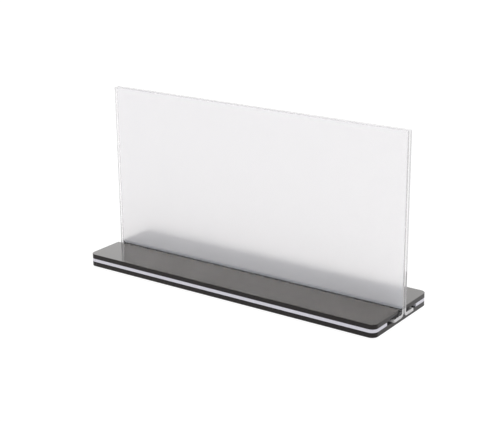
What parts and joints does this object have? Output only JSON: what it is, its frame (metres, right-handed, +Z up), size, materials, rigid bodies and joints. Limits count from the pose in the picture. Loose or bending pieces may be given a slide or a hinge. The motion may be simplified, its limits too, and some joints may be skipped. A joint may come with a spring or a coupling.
{
  "type": "acrylic sign stand",
  "caption": "Low laminated base with a long slot that holds two clear L-bent display sheets back to back, with a thin frosted insert between them.",
  "frame": {"origin": "on the desk, under the centre of the base; the bounding box reaches 1.55 mm further at the right, where the picture shows the two clear sheets standing out of the base's end", "axes": "+X along the stand to its right end, -Y to its front, +Z up"},
  "size_m": [0.2015, 0.059, 0.1076],
  "materials": {
    "black_acrylic": "black cast acrylic, gloss faces, cut edges polished",
    "white_acrylic": "opaque white cast acrylic, polished edge",
    "clear_acrylic": "clear acrylic sheet, heat-bent, gloss faces and polished edges",
    "frosted_film": "frosted translucent film, matt on both faces",
    "pad_rubber": "dark matt rubber"
  },
  "bodies": {
    "base": {"bottom_plate": "black_acrylic", "front_spacer": "white_acrylic", "rear_spacer": "white_acrylic", "front_top_plate": "black_acrylic", "rear_top_plate": "black_acrylic", "pad_front_left": "pad_rubber", "pad_front_right": "pad_rubber", "pad_rear_left": "pad_rubber", "pad_rear_right": "pad_rubber"},
    "front_sheet": {"front_panel": "clear_acrylic"},
    "rear_sheet": {"rear_panel": "clear_acrylic"},
    "insert": {"insert_sheet": "frosted_film"}
  },
  "joints": [
    {"name": "front_panel_slide", "type": "slide", "parent": "base", "child": "front_sheet", "axis": [1, 0, 0], "range_m": [-0.205, 0.205]},
    {"name": "rear_panel_slide", "type": "slide", "parent": "base", "child": "rear_sheet", "axis": [1, 0, 0], "range_m": [-0.205, 0.205]},
    {"name": "insert_lift", "type": "slide", "parent": "rear_sheet", "child": "insert", "axis": [0, 0, 1], "range_m": [-0.0043, 0.1]}
  ]
}
